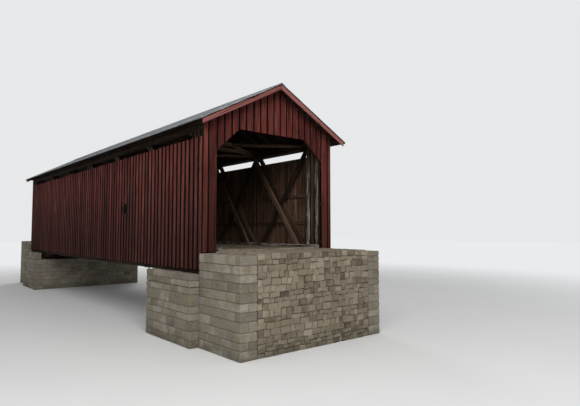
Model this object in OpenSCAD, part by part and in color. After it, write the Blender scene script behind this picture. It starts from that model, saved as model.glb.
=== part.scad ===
// Timber covered bridge on stone abutments.
// X runs across the bridge, Y runs along it and Z points up. The origin is at
// the foot of the masonry, under the middle of the span, and the left side is
// at negative X. All sizes are in millimetres.

/* [Overall] */
// Length of the covered part over the outer faces of the two portals
bridge_l = 22700; // [20000:50:25500]
// Width over the outer faces of the side boards
bridge_w = 5740; // [5400:10:6200]
// Height of the roadway above the foot of the masonry
floor_h = 3000; // [2500:10:4000]
// Height from the roadway to the underside of the top chords
clear_h = 3930; // [3900:10:4000]

/* [Trusses] */
// Number of panels in each truss
panels = 6; // [4:2:8]
// Distance from the portal to the first panel point
end_panel = 1000; // [1000:10:1300]
// Width of one chord stick, and of each brace, across the bridge
stick_w = 125; // [110:1:135]
// Gap between the chord sticks, where the rods pass
stick_gap = 50; // [44:1:60]
// Depth of the bottom chord
bottom_chord_h = 320; // [280:5:340]
// Depth of the top chord
top_chord_h = 220; // [200:5:240]
// Depth of a main brace
main_brace_d = 180; // [150:5:190]
// Depth of a counter brace
counter_d = 145; // [110:5:150]
// Flat between the two slopes of an angle block
block_flat = 40; // [20:2:60]
// Diameter of a tie rod
rod_d = 38; // [30:1:40]
// Thickness of the washer plates under the nuts
plate_t = 16; // [12:1:22]
// Length of the washer plates along the bridge
plate_l = 130; // [100:5:150]
// Width of a rod nut over its flats
nut_w = 62; // [50:1:70]
// Height of a rod nut
nut_h = 34; // [26:1:40]
// Thread that stands out past a nut
thread_out = 20; // [10:1:24]

/* [End posts] */
// Distances from the portal to the near faces of the three posts
post_at = [130, 400, 610];
// Depths of the three posts along the bridge
post_d = [180, 150, 190];

/* [Floor] */
// Thickness of the deck planks
deck_t = 70; // [50:5:90]
// Clearance between the deck and each truss
deck_gap = 60; // [30:5:100]
// Height of the floor joists
joist_h = 150; // [120:5:180]
// Width of a floor joist
joist_w = 75; // [60:5:100]
// Number of floor joists
joist_count = 9; // [7:1:11]
// Height of the floor beams
floor_beam_h = 220; // [180:5:240]
// Width of a floor beam along the bridge
floor_beam_w = 190; // [140:5:200]
// Floor beams in each panel
beams_per_panel = 3; // [2:1:3]
// Width of a wheel guard
guard_w = 150; // [100:5:200]
// Height of a wheel guard
guard_h = 100; // [80:5:160]

/* [Bracing] */
// Width of a lateral brace, seen from above
lateral_w = 100; // [80:5:130]
// Depth of an upper lateral brace
upper_lateral_h = 120; // [90:5:140]
// Distance from the top of the top chord down to the upper laterals
upper_lateral_drop = 20; // [10:5:40]
// Depth of a lower lateral brace
lower_lateral_h = 120; // [90:5:140]
// Height of the lower laterals above the underside of the bottom chord
lower_lateral_rise = 20; // [10:5:60]
// Distance along the bridge from a panel point to the end of a lateral
lateral_inset = 150; // [120:10:220]
// Clearance where a lateral is cut to pass another
halving_gap = 0.5; // [0.3:0.1:1]
// Height and width of a tie beam
tie_beam_s = 160; // [130:5:170]
// Distance along the bridge from the rods to the middle of a tie beam
tie_beam_off = 180; // [170:5:200]
// Bearing of a tie beam on the top chord
tie_beam_seat = 310; // [250:5:330]

/* [Walls] */
// Thickness of the wall boards
board_t = 30; // [25:1:35]
// Thickness of the rails that the side boards are nailed to
girt_t = 55; // [40:1:70]
// Height of these rails
girt_h = 120; // [90:5:140]
// Distance from the roadway down to the lower ends of the side boards
skirt = 640; // [600:5:700]
// Height of the open strip below the top chords
strip_h = 250; // [180:5:300]
// Heights of the two middle rails above the roadway
girt_z = [950, 2080];

/* [Portals] */
// Width of the wall on each side of the doorway
jamb_w = 500; // [450:5:560]
// Height of the doorway above the roadway
door_h = 4070; // [4000:10:4200]
// Height of the bevelled corners of the doorway
corner_h = 800; // [600:10:900]
// Width of the bevelled corners of the doorway
corner_w = 890; // [700:10:1000]
// Distance from the roadway down to the lower ends of the portal boards
portal_drop = 80; // [60:5:120]
// Depth of the portal nailers along the bridge, up to the first post
nailer_h = 100; // [80:5:130]
// Heights of the two lower portal nailers above the roadway
nailer_z = [150, 1650];
// Distance from the foot of the bevelled corners down to the top nailers
nailer_drop = 110; // [60:5:200]
// Depth of the knees behind the bevelled corners
knee_d = 120; // [90:5:140]
// Distance that the portal boards stand out past the knees
knee_reveal = 15; // [5:1:30]

/* [Roof] */
// Height of the roof surface at the ridge, above the roadway
ridge_h = 5850; // [5750:10:6100]
// Height of the roof surface at the eaves, above the roadway
eave_h = 4125; // [4060:5:4150]
// Overhang of the roof past the side boards
side_over = 380; // [340:5:420]
// Overhang of the roof past the portals
end_over = 470; // [400:10:650]
// Thickness of the shingles over the lath
shingle_t = 30; // [20:1:40]
// Thickness of the lath
lath_t = 25; // [20:1:30]
// Width of one lath
lath_w = 110; // [80:5:140]
// Spacing of the laths up the slope
lath_pitch = 213; // [180:1:260]
// Depth of a rafter
rafter_d = 175; // [150:5:200]
// Width of a rafter
rafter_w = 50; // [40:5:60]
// Rafter pairs in each panel
rafters_per_panel = 4; // [3:1:4]
// Distance that the rafter tails reach past the side boards
tail_out = 80; // [50:5:120]
// Thickness of the ridge board
ridge_t = 25; // [20:1:40]
// Height of the ridge board
ridge_board_h = 180; // [150:5:200]
// Width of each half of the ridge cap
cap_w = 160; // [120:5:220]
// Thickness of the ridge cap
cap_t = 20; // [15:1:30]
// Thickness of the rake boards
rake_t = 35; // [25:1:45]
// Depth of the rake boards
rake_w = 140; // [120:5:200]
// Distance that the shingles stand out past the faces of the rake boards
drip = 20; // [10:1:40]
// Distance that the eaves stand out past the lower ends of the rake boards
rake_short = 90; // [20:5:120]
// Gap in the mitre where two rake boards meet at the ridge
mitre_gap = 2; // [1:0.5:4]
// Thickness of the eave boards
eave_board_t = 25; // [20:1:35]
// Height of the eave boards
eave_board_h = 130; // [110:5:140]

/* [Masonry] */
// Length of each abutment under the covered part
abutment_l = 3200; // [2900:10:3600]
// Space between the side boards and the cheek walls
cheek_gap = 60; // [30:5:100]
// Thickness of the cheek walls, whose outer faces are those of the abutments
cheek_t = 370; // [250:10:500]
// Distance from the roadway down to the tops of the cheek walls
cheek_drop = 720; // [705:5:800]
// Length of the approach walls in front of each portal
approach_l = 2300; // [1500:50:3000]
// Distance that the approach walls stand out past the side boards
wing_reach = 130; // [50:10:250]
// Thickness of an approach wall
wing_t = 600; // [450:10:800]
// Distance from the roadway down to the tops of the approach walls
wing_drop = 80; // [60:5:120]
// Distance from the roadway down to the top of the fill between them
fill_drop = 30; // [10:5:60]

/* [Bearings] */
// Height of the bolster timbers under the chords
bolster_h = 200; // [150:5:250]
// Width of the bolster timbers
bolster_w = 300; // [250:5:400]
// Distance from the portal to the outer end of a bolster
bolster_start = 300; // [200:10:400]
// Distance that a bolster reaches past the abutment
bolster_out = 600; // [300:10:800]
// Depth of the pocket in a bolster for the lowest nuts
pocket_d = 90; // [88:1:110]
// Height of the bed timbers on the abutments
bed_h = 180; // [140:5:220]
// Width of a bed timber along the bridge
bed_w = 200; // [160:5:260]
// Distance between the ends of a bed timber and the side boards
bed_inset = 20; // [10:5:60]
// Number of bed timbers on each abutment
bed_count = 3; // [2:1:4]

/* [Hidden] */

// Plan of the trusses
half_l = bridge_l / 2;
half_w = bridge_w / 2;
truss_w = 3 * stick_w + 2 * stick_gap;
truss_out = half_w - board_t - girt_t;
truss_in = truss_out - truss_w;
truss_x = (truss_out + truss_in) / 2;
stick_step = stick_w + stick_gap;
chord_end = half_l - board_t;
panel_l = (bridge_l - 2 * end_panel) / panels;

// Levels, all measured up from the foot of the masonry
deck_under = floor_h - deck_t;
joist_under = deck_under - joist_h;
bottom_chord_top = joist_under - floor_beam_h;
bottom_chord_under = bottom_chord_top - bottom_chord_h;
top_chord_under = floor_h + clear_h;
top_chord_top = top_chord_under + top_chord_h;
bolster_under = bottom_chord_under - bolster_h;
seat_z = bolster_under - bed_h;
siding_under = floor_h - skirt;
siding_top = top_chord_under - strip_h;
knee_z = floor_h + door_h - corner_h;
door_x = half_w - jamb_w;
top_nailer_z = knee_z - nailer_drop - nailer_h;
deck_half = truss_in - deck_gap;

// Outer faces of the masonry, on the right side
abutment_half = half_w + cheek_gap + cheek_t;
wing_out = half_w + wing_reach;
wing_in = wing_out - wing_t;

// Slope of the roof, from the surface at the ridge to the surface at the eaves
roof_half = half_w + side_over;
ridge_z = floor_h + ridge_h;
pitch = atan2(ridge_h - eave_h, roof_half);
slope_l = roof_half / cos(pitch);
roof_end = half_l + end_over;
rake_out = roof_end - drip;
rake_in = rake_out - rake_t;
tail_x = half_w + tail_out;

// Heights below the roof surface are measured square to it
function roof_z(x, below) = ridge_z - x * tan(pitch) - below / cos(pitch);
lath_top = shingle_t;
rafter_top = shingle_t + lath_t;
rafter_under = rafter_top + rafter_d;
rafter_seat_x = (ridge_z - rafter_under / cos(pitch) - top_chord_top) / tan(pitch);

// Lean of the braces: both ends bear squarely on the slopes of angle blocks,
// so the lean and the size of the blocks are worked out together
truss_h = top_chord_under - bottom_chord_top;
function lean(a, rounds) =
    rounds == 0 ? a
    : lean(
        atan2(
            truss_h - main_brace_d * cos(a),
            panel_l - block_flat - main_brace_d * sin(a)
        ),
        rounds - 1
    );
brace_a = lean(atan2(truss_h, panel_l), 8);
block_rise = main_brace_d * cos(brace_a);
block_run = main_brace_d * sin(brace_a);
brace_dy = panel_l - block_flat - block_run;
brace_dz = truss_h - block_rise;
brace_l = norm([brace_dy, brace_dz]);

function panel_y(k) = -half_l + end_panel + k * panel_l;
mid_panel = panels / 2;

timber = "#4b382b";
weathered_timber = "#8d8074";
barn_red = "#7b2f2a";
stone_grey = "#b7b1a6";

// A box given by its lowest and highest corners
module block(low, high) {
    translate(low)
        cube(high - low);
}

// The same shape on both sides of the road, at both ends, or at all four corners
module both_sides() {
    children();
    mirror([1, 0, 0])
        children();
}

module both_ends() {
    children();
    mirror([0, 1, 0])
        children();
}

module four_corners() {
    both_ends()
        both_sides()
            children();
}

module left() {
    mirror([1, 0, 0])
        children();
}

// An outline drawn across the bridge, in X and Z, made solid from y0 to y1
module across(y0, y1) {
    translate([0, y1, 0])
        rotate([90, 0, 0])
            linear_extrude(y1 - y0)
                children();
}

// Masonry

// One block of masonry from the foot up to the bearing seat, at the near end
module abutment() {
    color(stone_grey)
        block([-abutment_half, -half_l, 0], [abutment_half, -half_l + abutment_l, seat_z]);
}

module near_abutment() {
    abutment();
}

module far_abutment() {
    mirror([0, 1, 0])
        abutment();
}

// Low walls on the seat, beside the chord ends
module cheek_walls() {
    color(stone_grey)
        four_corners()
            block(
                [half_w + cheek_gap, -half_l, seat_z],
                [abutment_half, -half_l + abutment_l, floor_h - cheek_drop]
            );
}

// Walls that hold the approach in front of each portal
module wing_walls() {
    color(stone_grey)
        four_corners()
            block(
                [wing_in, -half_l - approach_l, 0],
                [wing_out, -half_l, floor_h - wing_drop]
            );
}

// Rubble core between the approach walls, nearly level with the roadway
module approach_fills() {
    color(stone_grey)
        both_ends()
            block(
                [-wing_in, -half_l - approach_l, 0],
                [wing_in, -half_l, floor_h - fill_drop]
            );
}

// Bearings

// Timbers laid across each abutment, spread evenly along its seat
module bed_timbers() {
    bed_step = abutment_l / bed_count;
    color(timber)
        both_ends()
            for (i = [0 : bed_count - 1])
                translate([0, -half_l + (i + 0.5) * bed_step, 0])
                    block(
                        [-half_w + bed_inset, -bed_w / 2, seat_z],
                        [half_w - bed_inset, bed_w / 2, bolster_under]
                    );
}

// Timbers along the chord ends, pocketed for the lowest nuts, with their
// inner ends cut back below
module bolsters() {
    bolster_y = -half_l + bolster_start;
    bolster_l = abutment_l + bolster_out - bolster_start;
    color(timber)
        four_corners()
            difference() {
                translate([truss_x + bolster_w / 2, bolster_y, bolster_under])
                    rotate([0, -90, 0])
                        linear_extrude(bolster_w)
                            polygon([
                                [0, 0],
                                [0, bolster_l - bolster_h],
                                [bolster_h / 2, bolster_l],
                                [bolster_h, bolster_l],
                                [bolster_h, 0]
                            ]);
                for (k = [0 : panels])
                    translate([truss_x, panel_y(k), bottom_chord_under - pocket_d])
                        block(
                            [-bolster_w, -plate_l / 2 - 10, 0],
                            [bolster_w, plate_l / 2 + 10, pocket_d + 1]
                        );
            }
}

// Trusses

// Three sticks side by side, at the right side
module chord(under, top) {
    for (i = [-1 : 1])
        translate([truss_x + i * stick_step, 0, 0])
            block([-stick_w / 2, -chord_end, under], [stick_w / 2, chord_end, top]);
}

module bottom_chord() {
    color(timber)
        chord(bottom_chord_under, bottom_chord_top);
}

module top_chord() {
    color(timber)
        chord(top_chord_under, top_chord_top);
}

module left_bottom_chord() {
    left()
        bottom_chord();
}

module right_bottom_chord() {
    bottom_chord();
}

module left_top_chord() {
    left()
        top_chord();
}

module right_top_chord() {
    top_chord();
}

// One brace in panel k, in stick row i, of depth d. It leans towards the far
// end of the bridge as it rises when far_up is true
module brace(k, i, d, far_up) {
    foot_y = far_up
        ? panel_y(k) + (block_flat + block_run) / 2
        : panel_y(k + 1) - (block_flat + block_run) / 2;
    translate([truss_x + i * stick_step, foot_y, bottom_chord_top + block_rise / 2])
        rotate([far_up ? brace_a : 180 - brace_a, 0, 0])
            block([-stick_w / 2, 0, -d / 2], [stick_w / 2, brace_l, d / 2]);
}

// Pairs of main braces that rise towards the middle of the span
module main_braces() {
    color(timber)
        for (k = [0 : panels - 1])
            for (i = [-1, 1])
                brace(k, i, main_brace_d, k < mid_panel);
}

// Single counters that pass between the main braces
module counter_braces() {
    color(timber)
        for (k = [0 : panels - 1])
            brace(k, 0, counter_d, k >= mid_panel);
}

module left_main_braces() {
    left()
        main_braces();
}

module right_main_braces() {
    main_braces();
}

module left_counter_braces() {
    left()
        counter_braces();
}

module right_counter_braces() {
    counter_braces();
}

// Outline of an angle block, along the bridge and up
module block_outline() {
    polygon([
        [-block_flat / 2 - block_run, 0],
        [-block_flat / 2, block_rise],
        [block_flat / 2, block_rise],
        [block_flat / 2 + block_run, 0]
    ]);
}

// Sloped hardwood blocks on the bottom chord and under the top chord
module angle_blocks() {
    color(weathered_timber)
        for (k = [0 : panels])
            for (i = [-1 : 1])
                translate([truss_x + i * stick_step + stick_w / 2, panel_y(k), 0]) {
                    translate([0, 0, bottom_chord_top])
                        rotate([90, 0, -90])
                            linear_extrude(stick_w)
                                block_outline();
                    translate([0, 0, top_chord_under])
                        rotate([-90, 0, 90])
                            linear_extrude(stick_w)
                                block_outline();
                }
}

module left_angle_blocks() {
    left()
        angle_blocks();
}

module right_angle_blocks() {
    angle_blocks();
}

// The two rods of a truss at each panel point, one in each gap of the chords
module at_rods() {
    for (k = [0 : panels])
        for (i = [-1, 1])
            translate([truss_x + i * stick_step / 2, panel_y(k), 0])
                children();
}

// Rods from the thread below the lowest nut to the thread above the top one
module tie_rods() {
    reach = plate_t + nut_h + thread_out;
    color("dimgray")
        both_sides()
            at_rods()
                translate([0, 0, bottom_chord_under - reach])
                    cylinder(h = top_chord_top - bottom_chord_under + 2 * reach, d = rod_d, $fn = 32);
}

// A washer plate across the three sticks, with a nut on each of its two rods
module rod_plate() {
    block([-truss_w / 2, -plate_l / 2, 0], [truss_w / 2, plate_l / 2, plate_t]);
    for (i = [-1, 1])
        translate([i * stick_step / 2, 0, plate_t])
            cylinder(h = nut_h, d = nut_w / cos(30), $fn = 6);
}

// Plates and nuts below the bottom chords and above the top chords, bored
// for the rods
module rod_plates() {
    color("dimgray")
        both_sides()
            difference() {
                for (k = [0 : panels])
                    translate([truss_x, panel_y(k), 0]) {
                        translate([0, 0, top_chord_top])
                            rod_plate();
                        translate([0, 0, bottom_chord_under])
                            mirror([0, 0, 1])
                                rod_plate();
                    }
                at_rods()
                    cylinder(h = top_chord_top + plate_t + 2 * nut_h, d = rod_d, $fn = 32);
            }
}

// Three posts between the chords at each truss end, each of two sticks
module end_posts() {
    color(weathered_timber)
        four_corners()
            for (p = [0 : 2])
                for (i = [-1, 1])
                    translate([truss_x + i * stick_step, -half_l + post_at[p], 0])
                        block(
                            [-stick_w / 2, 0, bottom_chord_top],
                            [stick_w / 2, post_d[p], top_chord_under]
                        );
}

// Floor

// Beams across the bottom chords between the panel points, and an end sill
// behind each portal
module floor_beams() {
    step = panel_l / beams_per_panel;
    color(timber) {
        for (k = [0 : panels - 1])
            for (i = [0 : beams_per_panel - 1])
                translate([0, panel_y(k) + (i + 0.5) * step, bottom_chord_top])
                    block(
                        [-truss_out, -floor_beam_w / 2, 0],
                        [truss_out, floor_beam_w / 2, floor_beam_h]
                    );
        both_ends()
            block(
                [-truss_out, -chord_end, bottom_chord_top],
                [truss_out, -half_l + post_at[0], joist_under]
            );
    }
}

// Joists from end to end on the floor beams
module floor_joists() {
    step = (2 * deck_half - joist_w) / (joist_count - 1);
    color(timber)
        for (i = [0 : joist_count - 1])
            translate([-deck_half + i * step, 0, 0])
                block([0, -chord_end, joist_under], [joist_w, chord_end, deck_under]);
}

module deck() {
    color(weathered_timber)
        block([-deck_half, -half_l, deck_under], [deck_half, half_l, floor_h]);
}

// Timbers along both edges of the roadway
module wheel_guards() {
    color(weathered_timber)
        both_sides()
            block(
                [deck_half - guard_w, -chord_end, floor_h],
                [deck_half, chord_end, floor_h + guard_h]
            );
}

// Bracing

// One diagonal of panel k between the trusses, from the left truss to the
// right one, cut off at their inner faces. dir is 1 where it runs towards the
// far end and -1 where it runs back
module diagonal(k, dir, w, low, high) {
    run = panel_l - 2 * lateral_inset;
    reach = norm([2 * truss_in, run]);
    intersection() {
        translate([0, panel_y(k) + panel_l / 2, 0])
            rotate([0, 0, dir * atan2(run, 2 * truss_in)])
                block([-reach, -w / 2, low], [reach, w / 2, high]);
        block([-truss_in, -half_l, low], [truss_in, half_l, high]);
    }
}

// Crossed diagonals in every panel: one is whole, the other is in two halves
module laterals(low, high) {
    for (k = [0 : panels - 1]) {
        diagonal(k, 1, lateral_w, low, high);
        difference() {
            diagonal(k, -1, lateral_w, low, high);
            diagonal(k, 1, lateral_w + 2 * halving_gap, low - 1, high + 1);
        }
    }
}

module lower_laterals() {
    low = bottom_chord_under + lower_lateral_rise;
    color(timber)
        laterals(low, low + lower_lateral_h);
}

module upper_laterals() {
    high = top_chord_top - upper_lateral_drop;
    color(timber)
        laterals(high - upper_lateral_h, high);
}

// Beams from truss to truss, beside the rods and behind each portal
module tie_beams() {
    reach = truss_in + tie_beam_seat;
    color(timber) {
        for (k = [1 : panels - 1])
            translate([0, panel_y(k) + (k > mid_panel ? -1 : 1) * tie_beam_off, top_chord_top])
                block([-reach, -tie_beam_s / 2, 0], [reach, tie_beam_s / 2, tie_beam_s]);
        both_ends()
            translate([0, -chord_end + rafter_w + 10, top_chord_top])
                block([-reach, 0, 0], [reach, tie_beam_s, tie_beam_s]);
    }
}

// Portals and walls

// Rails across the corner of each portal, from the first post to the side boards
module portal_nailers() {
    color(timber)
        four_corners()
            for (z = [floor_h + nailer_z[0], floor_h + nailer_z[1], top_nailer_z])
                translate([0, 0, z])
                    block(
                        [door_x + knee_reveal, -chord_end, 0],
                        [half_w - board_t, -half_l + post_at[0], nailer_h]
                    );
}

// Knees behind the bevelled corners, from the top nailer to the tie beam, cut
// to pass under the ends of the top chords
module portal_knees() {
    foot_z = top_nailer_z + nailer_h;
    bevel_a = atan2(corner_h, corner_w);
    color(timber)
        four_corners()
            across(-chord_end, -half_l + post_at[0])
                difference() {
                    intersection() {
                        translate([door_x, knee_z])
                            rotate(-bevel_a)
                                translate([-2 * corner_w, knee_reveal])
                                    square([4 * corner_w, knee_d]);
                        translate([0, foot_z])
                            square([half_w - board_t, top_chord_top - foot_z]);
                    }
                    translate([truss_in, top_chord_under])
                        square([half_w, top_chord_h + 1]);
                }
}

// Level rails outside the trusses that carry the side boards
module girts() {
    lows = [
        bottom_chord_top - girt_h,
        floor_h + girt_z[0] - girt_h / 2,
        floor_h + girt_z[1] - girt_h / 2,
        siding_top - girt_h
    ];
    girt_end = half_l - post_at[0];
    color(timber)
        for (z = lows)
            block([truss_out, -girt_end, z], [truss_out + girt_t, girt_end, z + girt_h]);
}

module left_girts() {
    left()
        girts();
}

module right_girts() {
    girts();
}

// Upright boards on the side, between the two portal walls
module siding() {
    color(barn_red)
        block([half_w - board_t, -chord_end, siding_under], [half_w, chord_end, siding_top]);
}

module left_siding() {
    left()
        siding();
}

module right_siding() {
    siding();
}

// Portal wall beside the doorway, below its bevelled corners
module jambs() {
    color(barn_red)
        both_sides()
            block([door_x, -half_l, floor_h - portal_drop], [half_w, -chord_end, knee_z]);
}

module near_jambs() {
    jambs();
}

module far_jambs() {
    mirror([0, 1, 0])
        jambs();
}

// Portal wall over the doorway, up to the underside of the lath
module gable() {
    lintel_x = door_x - corner_w;
    lintel_z = floor_h + door_h;
    wall_top = roof_z(half_w, rafter_top);
    color(barn_red)
        across(-half_l, -chord_end)
            polygon([
                [door_x, knee_z], [half_w, knee_z], [half_w, wall_top],
                [0, roof_z(0, rafter_top)],
                [-half_w, wall_top], [-half_w, knee_z], [-door_x, knee_z],
                [-lintel_x, lintel_z], [lintel_x, lintel_z]
            ]);
}

module near_gable() {
    gable();
}

module far_gable() {
    mirror([0, 1, 0])
        gable();
}

// Roof

// A strip that follows the roof slope on the right side, between two depths
// below the surface
module slope_strip(x0, x1, top, under) {
    polygon([
        [x0, roof_z(x0, top)], [x1, roof_z(x1, top)],
        [x1, roof_z(x1, under)], [x0, roof_z(x0, under)]
    ]);
}

// One rafter, notched over the outer edge of the top chord
module rafter() {
    difference() {
        slope_strip(ridge_t / 2, tail_x, rafter_top, rafter_under);
        translate([0, top_chord_under])
            square([truss_out, top_chord_h]);
    }
}

// Rafter pairs between the panel points, and one pair behind each gable
module rafters() {
    step = panel_l / rafters_per_panel;
    color(timber)
        both_sides() {
            for (k = [0 : panels - 1])
                for (i = [0 : rafters_per_panel - 1])
                    translate([0, panel_y(k) + (i + 0.5) * step - rafter_w / 2, 0])
                        across(0, rafter_w)
                            rafter();
            both_ends() {
                across(-chord_end, -chord_end + rafter_w)
                    rafter();
                translate([0, panel_y(0) - step / 2 - rafter_w / 2, 0])
                    across(0, rafter_w)
                        rafter();
            }
        }
}

module ridge_board() {
    top = roof_z(ridge_t / 2, rafter_top);
    color(timber)
        block([-ridge_t / 2, -chord_end, top - ridge_board_h], [ridge_t / 2, chord_end, top]);
}

// Spaced laths along the roof, from the eaves up
module roof_lath() {
    count = floor((slope_l - lath_w) / lath_pitch) + 1;
    color(weathered_timber)
        both_sides()
            across(-rake_out, rake_out)
                for (i = [0 : count - 1])
                    slope_strip(
                        (slope_l - i * lath_pitch - lath_w) * cos(pitch),
                        (slope_l - i * lath_pitch) * cos(pitch),
                        lath_top, rafter_top
                    );
}

// The layer of shingles on one slope
module roof_slope() {
    color("lightslategray")
        across(-roof_end, roof_end)
            slope_strip(0, roof_half, 0, lath_top);
}

module left_roof() {
    left()
        roof_slope();
}

module right_roof() {
    roof_slope();
}

// Two boards along the ridge
module ridge_cap() {
    color("lightslategray")
        across(-roof_end, roof_end)
            both_sides()
                slope_strip(0, cap_w * cos(pitch), -cap_t, 0);
}

// Boards under the lath ends, along the sloping edges of the roof
module rake_boards() {
    color("#94433c")
        four_corners()
            across(-rake_out, -rake_in)
                slope_strip(
                    mitre_gap / 2, roof_half - rake_short,
                    rafter_top, rafter_top + rake_w
                );
}

// Boards on the rafter tails
module eave_boards() {
    top = roof_z(tail_x + eave_board_t, rafter_top);
    color(timber)
        both_sides()
            block(
                [tail_x, -rake_in, top - eave_board_h],
                [tail_x + eave_board_t, rake_in, top]
            );
}

near_abutment();
far_abutment();
cheek_walls();
wing_walls();
approach_fills();
bed_timbers();
bolsters();
left_bottom_chord();
right_bottom_chord();
left_top_chord();
right_top_chord();
left_main_braces();
right_main_braces();
left_counter_braces();
right_counter_braces();
tie_rods();
rod_plates();
left_angle_blocks();
right_angle_blocks();
end_posts();
floor_beams();
floor_joists();
deck();
wheel_guards();
lower_laterals();
tie_beams();
upper_laterals();
portal_knees();
portal_nailers();
left_girts();
right_girts();
left_siding();
right_siding();
near_jambs();
far_jambs();
near_gable();
far_gable();
rafters();
ridge_board();
roof_lath();
left_roof();
right_roof();
ridge_cap();
rake_boards();
eave_boards();
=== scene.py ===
import math

import bmesh
import bpy
import numpy as np
from mathutils import Matrix, Vector


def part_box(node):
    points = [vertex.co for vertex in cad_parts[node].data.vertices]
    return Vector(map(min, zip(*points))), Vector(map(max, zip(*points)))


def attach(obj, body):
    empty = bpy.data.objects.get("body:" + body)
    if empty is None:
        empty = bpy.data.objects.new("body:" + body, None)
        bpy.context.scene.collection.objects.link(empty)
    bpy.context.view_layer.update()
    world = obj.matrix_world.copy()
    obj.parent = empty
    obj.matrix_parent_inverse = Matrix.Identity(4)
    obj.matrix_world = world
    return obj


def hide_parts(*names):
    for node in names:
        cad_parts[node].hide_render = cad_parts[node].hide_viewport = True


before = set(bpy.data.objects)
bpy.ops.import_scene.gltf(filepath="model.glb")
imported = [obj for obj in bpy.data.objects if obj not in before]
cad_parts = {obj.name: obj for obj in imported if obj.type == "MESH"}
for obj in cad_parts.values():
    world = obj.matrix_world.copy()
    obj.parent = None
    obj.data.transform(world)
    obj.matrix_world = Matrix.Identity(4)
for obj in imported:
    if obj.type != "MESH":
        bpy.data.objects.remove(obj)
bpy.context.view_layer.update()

# Camera
# It stands before the near portal, left of the roadway and a little over the
# deck, and looks across the left front corner of the bridge with a wide lens.
camera_lens = bpy.data.cameras.new("camera")
camera_lens.lens = 29.68
camera = bpy.data.objects.new("camera", camera_lens)
camera.location = (-10.60, -24.66, 3.615)
camera.rotation_euler = (math.radians(93.37), 0.0, math.radians(-40.48))
bpy.context.scene.collection.objects.link(camera)
bpy.context.scene.camera = camera

# Abutments, cheek walls and approach walls
# Limestone blocks in level courses, laid in pale mortar round a core of
# rubble. Their faces are split rough, and the corners are bonded by turns.


def srgb(red, green, blue):
    """A colour given as it shows on a screen, from 0 to 255, in linear light."""
    shown = [channel / 255 for channel in (red, green, blue)]
    return tuple(c / 12.92 if c < 0.0404 else ((c + 0.055) / 1.055) ** 2.4 for c in shown) + (1.0,)


def add(tree, kind, inputs=None, **settings):
    """A node with its settings made, and its inputs linked or set."""
    made = tree.nodes.new(kind)
    for name, value in settings.items():
        setattr(made, name, value)
    for key, value in (inputs or {}).items():
        if isinstance(value, bpy.types.NodeSocket):
            tree.links.new(value, made.inputs[key])
        else:
            made.inputs[key].default_value = value
    return made


def calc(tree, operation, *values):
    """One step of arithmetic on numbers."""
    return add(tree, "ShaderNodeMath", dict(enumerate(values)), operation=operation).outputs[0]


def vector(tree, operation, *values):
    """One step of arithmetic on vectors."""
    return add(tree, "ShaderNodeVectorMath", dict(enumerate(values)), operation=operation).outputs[0]


def noise(tree, where, scale, detail=4.0, stretch=(1.0, 1.0, 1.0)):
    """A cloudy pattern from 0 to 1, drawn out along an axis where its stretch is small."""
    where = vector(tree, "MULTIPLY", where, stretch)
    return add(tree, "ShaderNodeTexNoise", {"Vector": where, "Scale": scale, "Detail": detail}).outputs[0]


def between(tree, value, low, high):
    """How far a value lies between two limits, from 0 to 1."""
    inputs = {"Value": value, "From Min": low, "From Max": high}
    return add(tree, "ShaderNodeMapRange", inputs, interpolation_type="SMOOTHSTEP").outputs[0]


def mix(tree, share, first, second, way="MIX"):
    """A share of the second colour over the first."""
    inputs = {0: share, 6: first, 7: second}
    return add(tree, "ShaderNodeMix", inputs, data_type="RGBA", blend_type=way).outputs[2]


def new_material(name):
    """An empty material and its nodes."""
    made = bpy.data.materials.new(name)
    made.use_nodes = True
    return made, made.node_tree


def dress(tree, colour, roughness, height, depth):
    """Sets the material's colour, roughness and relief, with its depth in metres."""
    surface = tree.nodes["Principled BSDF"]
    tree.links.new(colour, surface.inputs["Base Color"])
    tree.links.new(roughness, surface.inputs["Roughness"])
    surface.inputs["Specular IOR Level"].default_value = 0.06
    relief = add(tree, "ShaderNodeBump", {"Height": height, "Distance": depth})
    tree.links.new(relief.outputs[0], surface.inputs["Normal"])


def attribute(tree, name, output):
    """A value that the mesh carries."""
    return add(tree, "ShaderNodeAttribute", attribute_name=name).outputs[output]


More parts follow.
